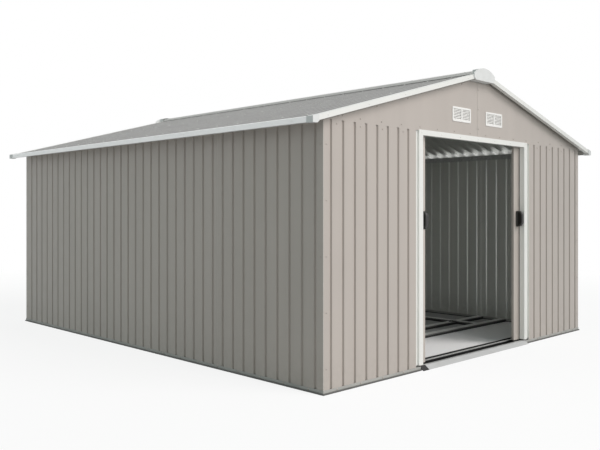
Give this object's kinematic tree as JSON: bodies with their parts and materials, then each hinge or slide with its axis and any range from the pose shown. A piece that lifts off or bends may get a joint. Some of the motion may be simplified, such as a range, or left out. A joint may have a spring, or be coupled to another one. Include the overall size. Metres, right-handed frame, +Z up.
{
  "type": "metal storage shed",
  "caption": "Gabled storage shed of fluted sheet metal with white trims, louvred gable vents and sliding doors in its front wall.",
  "frame": {"origin": "centre of the footprint of the whole shed, on the ground", "axes": "+X to the right seen from the doorway side, +Y from the doorway to the rear wall, +Z up"},
  "size_m": [3.41, 3.818, 1.988],
  "materials": {
    "wall_cream": "satin baked paint",
    "roof_grey": "satin baked paint",
    "trim_white": "satin baked paint",
    "ridge_grey": "satin baked paint",
    "cap_plastic": "moulded",
    "vent_plastic": "moulded",
    "rail_zinc": "galvanised",
    "base_rail_grey": "galvanised, dark",
    "ramp_grey": "satin",
    "handle_black": "moulded",
    "slider_nylon": "moulded"
  },
  "bodies": {
    "shed": {"base_rail_front": "base_rail_grey", "base_rail_left": "base_rail_grey", "base_rail_rear": "base_rail_grey", "base_rail_right": "base_rail_grey", "corner_caps": "cap_plastic", "corner_post_front_left": "rail_zinc", "corner_post_front_right": "rail_zinc", "corner_post_rear_left": "rail_zinc", "corner_post_rear_right": "rail_zinc", "door_header": "trim_white", "door_jamb_left": "trim_white", "door_jamb_right": "trim_white", "eave_trims": "trim_white", "floor_cross_rails": "rail_zinc", "floor_long_rails": "rail_zinc", "front_gable_left": "wall_cream", "front_gable_right": "wall_cream", "front_wall_left": "wall_cream", "front_wall_right": "wall_cream", "gable_vents": "vent_plastic", "left_wall": "wall_cream", "rake_trims": "trim_white", "rear_gable_left": "wall_cream", "rear_gable_right": "wall_cream", "rear_wall": "wall_cream", "ridge_beam": "rail_zinc", "ridge_cap": "ridge_grey", "ridge_end_caps": "cap_plastic", "right_wall": "wall_cream", "roof_left": "roof_grey", "roof_purlins": "rail_zinc", "roof_right": "roof_grey", "sill_track": "rail_zinc", "threshold_ramp": "ramp_grey", "top_rail_front": "rail_zinc", "top_rail_left": "rail_zinc", "top_rail_rear": "rail_zinc", "top_rail_right": "rail_zinc", "upper_track": "rail_zinc"},
    "left_door": {"left_door_glides": "slider_nylon", "left_door_handle": "handle_black", "left_door_leaf": "wall_cream"},
    "right_door": {"right_door_glides": "slider_nylon", "right_door_handle": "handle_black", "right_door_leaf": "wall_cream"}
  },
  "joints": [
    {"name": "left_door_slide", "type": "slide", "parent": "shed", "child": "left_door", "axis": [1, 0, 0], "range_m": [0, 0.562]},
    {"name": "right_door_slide", "type": "slide", "parent": "shed", "child": "right_door", "axis": [-1, 0, 0], "range_m": [0, 0.562]}
  ]
}
